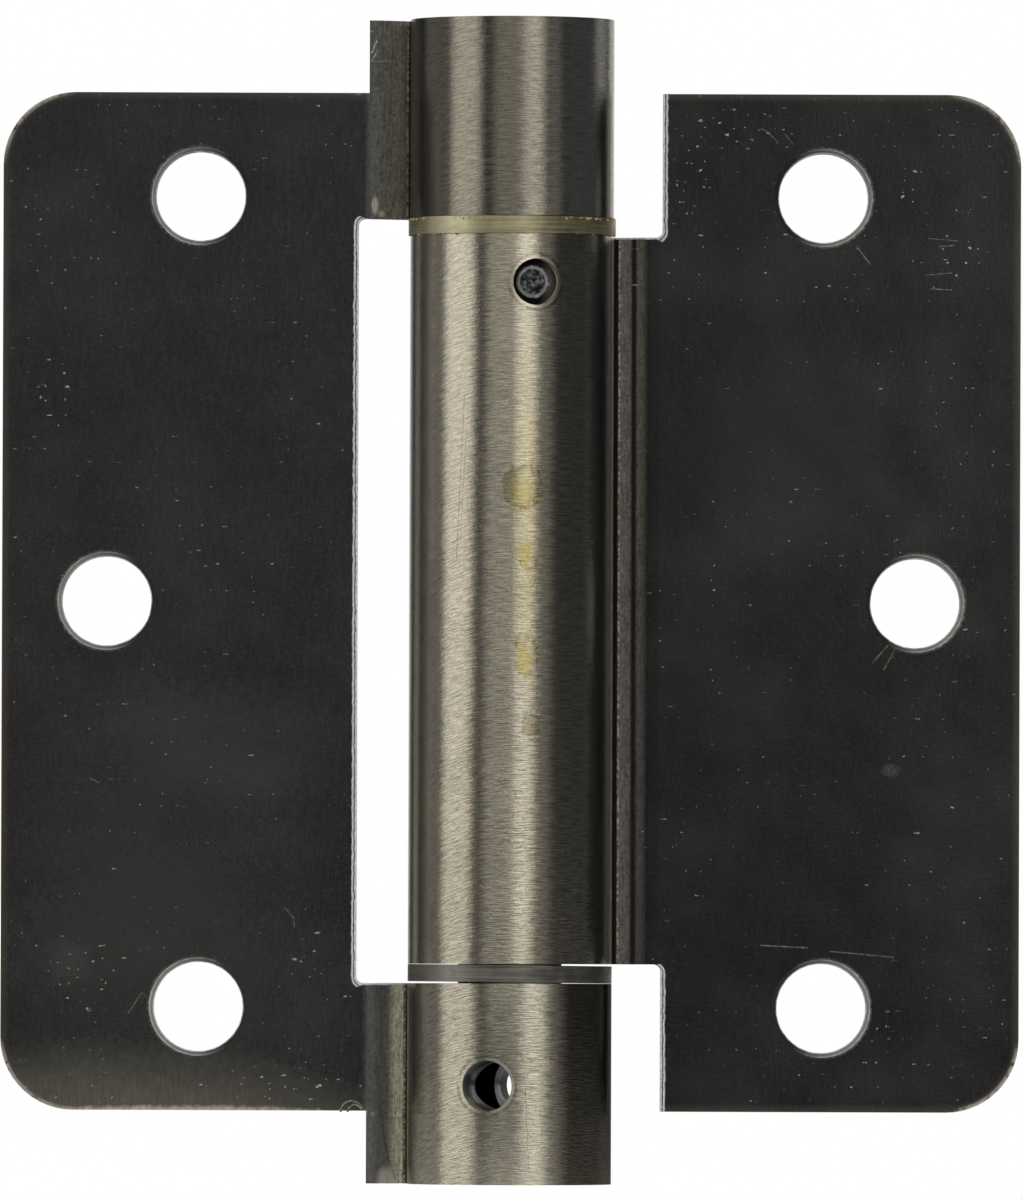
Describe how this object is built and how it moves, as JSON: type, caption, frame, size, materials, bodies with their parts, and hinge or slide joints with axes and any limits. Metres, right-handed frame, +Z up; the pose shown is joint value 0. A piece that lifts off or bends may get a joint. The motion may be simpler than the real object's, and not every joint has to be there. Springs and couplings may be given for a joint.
{
  "type": "spring hinge",
  "caption": "Self-closing butt hinge with two steel leaves, rounded corners, an enclosed torsion spring and a tension adjuster",
  "frame": {"origin": "on the pin axis, half way up the barrel and the leaves", "axes": "+Z up the pin axis, towards the top knuckle; leaves along X, open flat; the side they close on faces -Y"},
  "size_m": [0.0888, 0.018, 0.1016],
  "materials": {
    "brushed_steel": "brushed",
    "brass": "satin",
    "spring_steel": "oiled"
  },
  "bodies": {
    "barrel_leaf": {"barrel_leaf": "brushed_steel", "anchor_plug": "brushed_steel", "anchor_pin": "brushed_steel", "pivot_pin": "brushed_steel", "lower_bush": "brass", "top_washer": "brass", "torsion_spring": "spring_steel"},
    "knuckle_leaf": {"two_knuckle_leaf": "brushed_steel", "top_sleeve": "brass", "bottom_washer": "brushed_steel"},
    "adjuster": {"tension_adjuster": "brushed_steel", "retaining_ring": "brushed_steel"}
  },
  "joints": [
    {"name": "leaf_swing", "type": "hinge", "parent": "barrel_leaf", "child": "knuckle_leaf", "pos_m": [0, 0, 0], "axis": [0, 0, 1], "range_deg": [-150, 180]},
    {"name": "adjuster_turn", "type": "hinge", "parent": "barrel_leaf", "child": "adjuster", "pos_m": [0, 0, 0], "axis": [0, 0, 1], "range_deg": [0, 180], "stiffness_Nm_per_rad": 0.47, "deforming": ["torsion_spring"]}
  ]
}
